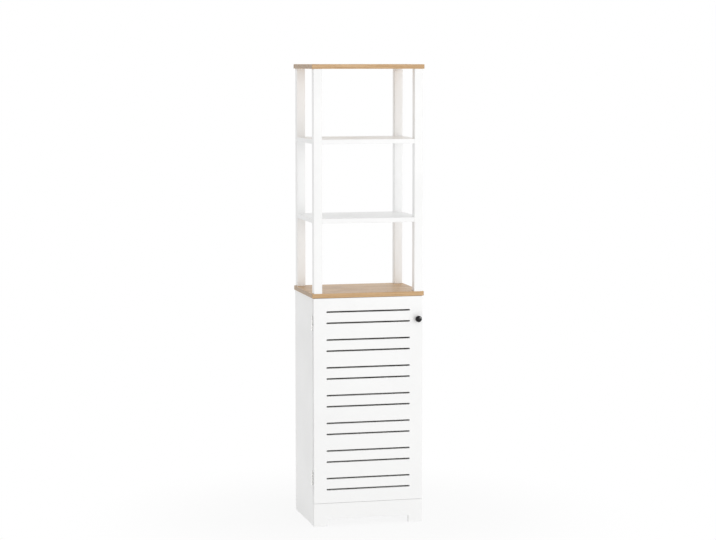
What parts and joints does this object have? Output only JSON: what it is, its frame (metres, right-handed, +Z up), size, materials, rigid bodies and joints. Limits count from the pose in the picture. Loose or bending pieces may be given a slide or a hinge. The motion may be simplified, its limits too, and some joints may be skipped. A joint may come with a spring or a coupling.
{
  "type": "tall bathroom cabinet",
  "caption": "Tall narrow bathroom cabinet: closed base with a slotted hinged door and plinth, under an open frame of square posts and shelves with a wooden top.",
  "frame": {"origin": "on the floor, under the middle of the cabinet's width and of its depth with the knob", "axes": "+Z up; -Y towards the front, where the door and the knob are; +X to the right as seen from the front"},
  "size_m": [0.4112, 0.329, 1.65],
  "materials": {
    "white_panel": "satin white lacquer on fibreboard",
    "natural_wood": "satin honey-brown wood grain running along the width",
    "hardboard": "thin white-faced hardboard",
    "dowel_wood": "bare beech",
    "black_knob": "glossy black",
    "hinge_steel": "bright nickel-plated steel",
    "zinc_steel": "zinc-plated steel",
    "cast_zinc": "dull die-cast zinc",
    "white_plastic": "matt white plastic",
    "magnet": "dark grey ferrite"
  },
  "bodies": {
    "cabinet": {"back_panel": "hardboard", "back_panel_nails": "zinc_steel", "bottom_panel": "white_panel", "cabinet_top_board": "natural_wood", "cam_bolts": "zinc_steel", "cam_locks": "cast_zinc", "catch_housing": "white_plastic", "catch_magnet": "magnet", "catch_pole_plates": "zinc_steel", "catch_screws": "zinc_steel", "floor_glides": "white_plastic", "front_plinth": "white_panel", "hinge_frame_leaves": "hinge_steel", "hinge_frame_screws": "hinge_steel", "hinge_pins": "hinge_steel", "inner_shelf": "white_panel", "lower_open_shelf": "white_panel", "post_front_left": "white_panel", "post_front_right": "white_panel", "post_rear_left": "white_panel", "post_rear_right": "white_panel", "shelf_pins": "zinc_steel", "side_panel_left": "white_panel", "side_panel_right": "white_panel", "top_board": "natural_wood", "upper_open_shelf": "white_panel", "wood_dowels": "dowel_wood"},
    "door": {"hinge_door_leaves": "hinge_steel", "hinge_door_screws": "hinge_steel", "knob": "black_knob", "knob_screw": "zinc_steel", "slotted_door": "white_panel", "strike_plate": "zinc_steel", "strike_screw": "zinc_steel"}
  },
  "joints": [
    {"name": "door_hinge", "type": "hinge", "parent": "cabinet", "child": "door", "pos_m": [-0.2037, -0.124, 0.454], "axis": [0, 0, -1], "range_deg": [0, 195]}
  ]
}
